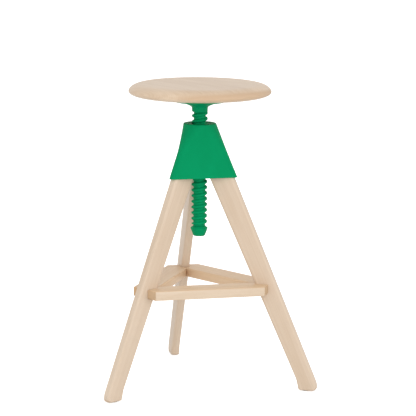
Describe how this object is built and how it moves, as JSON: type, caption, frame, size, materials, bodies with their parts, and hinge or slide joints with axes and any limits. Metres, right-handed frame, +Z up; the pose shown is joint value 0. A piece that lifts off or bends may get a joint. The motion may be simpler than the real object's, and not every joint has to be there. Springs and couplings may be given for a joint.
{
  "type": "adjustable swivel stool",
  "caption": "Height-adjustable stool: round wooden seat on a coarse screw spindle, moulded hub, splayed wooden legs and a triangular footrest.",
  "frame": {"origin": "on the floor, at the middle of the object's box; the spindle's axis stands 60 mm towards -Y of it, because the third leg reaches back along +Y", "axes": "+Z up along the spindle, +Y towards the back leg, +X to the right of a person facing the back leg from the front rail"},
  "size_m": [0.4892, 0.4392, 0.687],
  "materials": {
    "beech": "pale beech under clear satin lacquer",
    "green_plastic": "moulded polypropylene, fine satin texture",
    "steel": "zinc-plated steel",
    "glide_plastic": "pale grey nylon"
  },
  "bodies": {
    "frame": {"hub": "green_plastic", "spindle_nut": "green_plastic", "leg_front_left": "beech", "leg_front_right": "beech", "leg_back": "beech", "rail_front": "beech", "rail_left": "beech", "rail_right": "beech", "dowel_front_left_1": "beech", "dowel_front_left_2": "beech", "dowel_front_right_1": "beech", "dowel_front_right_2": "beech", "dowel_back_1": "beech", "dowel_back_2": "beech", "leg_screw_front_left_1": "steel", "leg_screw_front_left_2": "steel", "leg_screw_front_right_1": "steel", "leg_screw_front_right_2": "steel", "leg_screw_back_1": "steel", "leg_screw_back_2": "steel", "glide_front_left": "glide_plastic", "glide_front_right": "glide_plastic", "glide_back": "glide_plastic"},
    "spindle_lift": {"end_stop_washer": "steel"},
    "seat_turn": {"seat": "beech", "spindle": "green_plastic", "end_stop": "green_plastic", "end_stop_screw": "steel", "seat_screw_1": "steel", "seat_screw_2": "steel", "seat_screw_3": "steel", "seat_screw_4": "steel"}
  },
  "joints": [
    {"name": "lift_slide", "type": "slide", "parent": "frame", "child": "spindle_lift", "axis": [0, 0, 1], "range_m": [-0.0261, 0.1301]},
    {"name": "seat_swivel", "type": "hinge", "parent": "spindle_lift", "child": "seat_turn", "pos_m": [0, -0.06, 0.5], "axis": [0, 0, 1], "range_deg": [-720, 3600]}
  ],
  "couplings": [
    {"joint": "lift_slide", "follows": "seat_swivel", "m_per_rad": 0.002069}
  ]
}
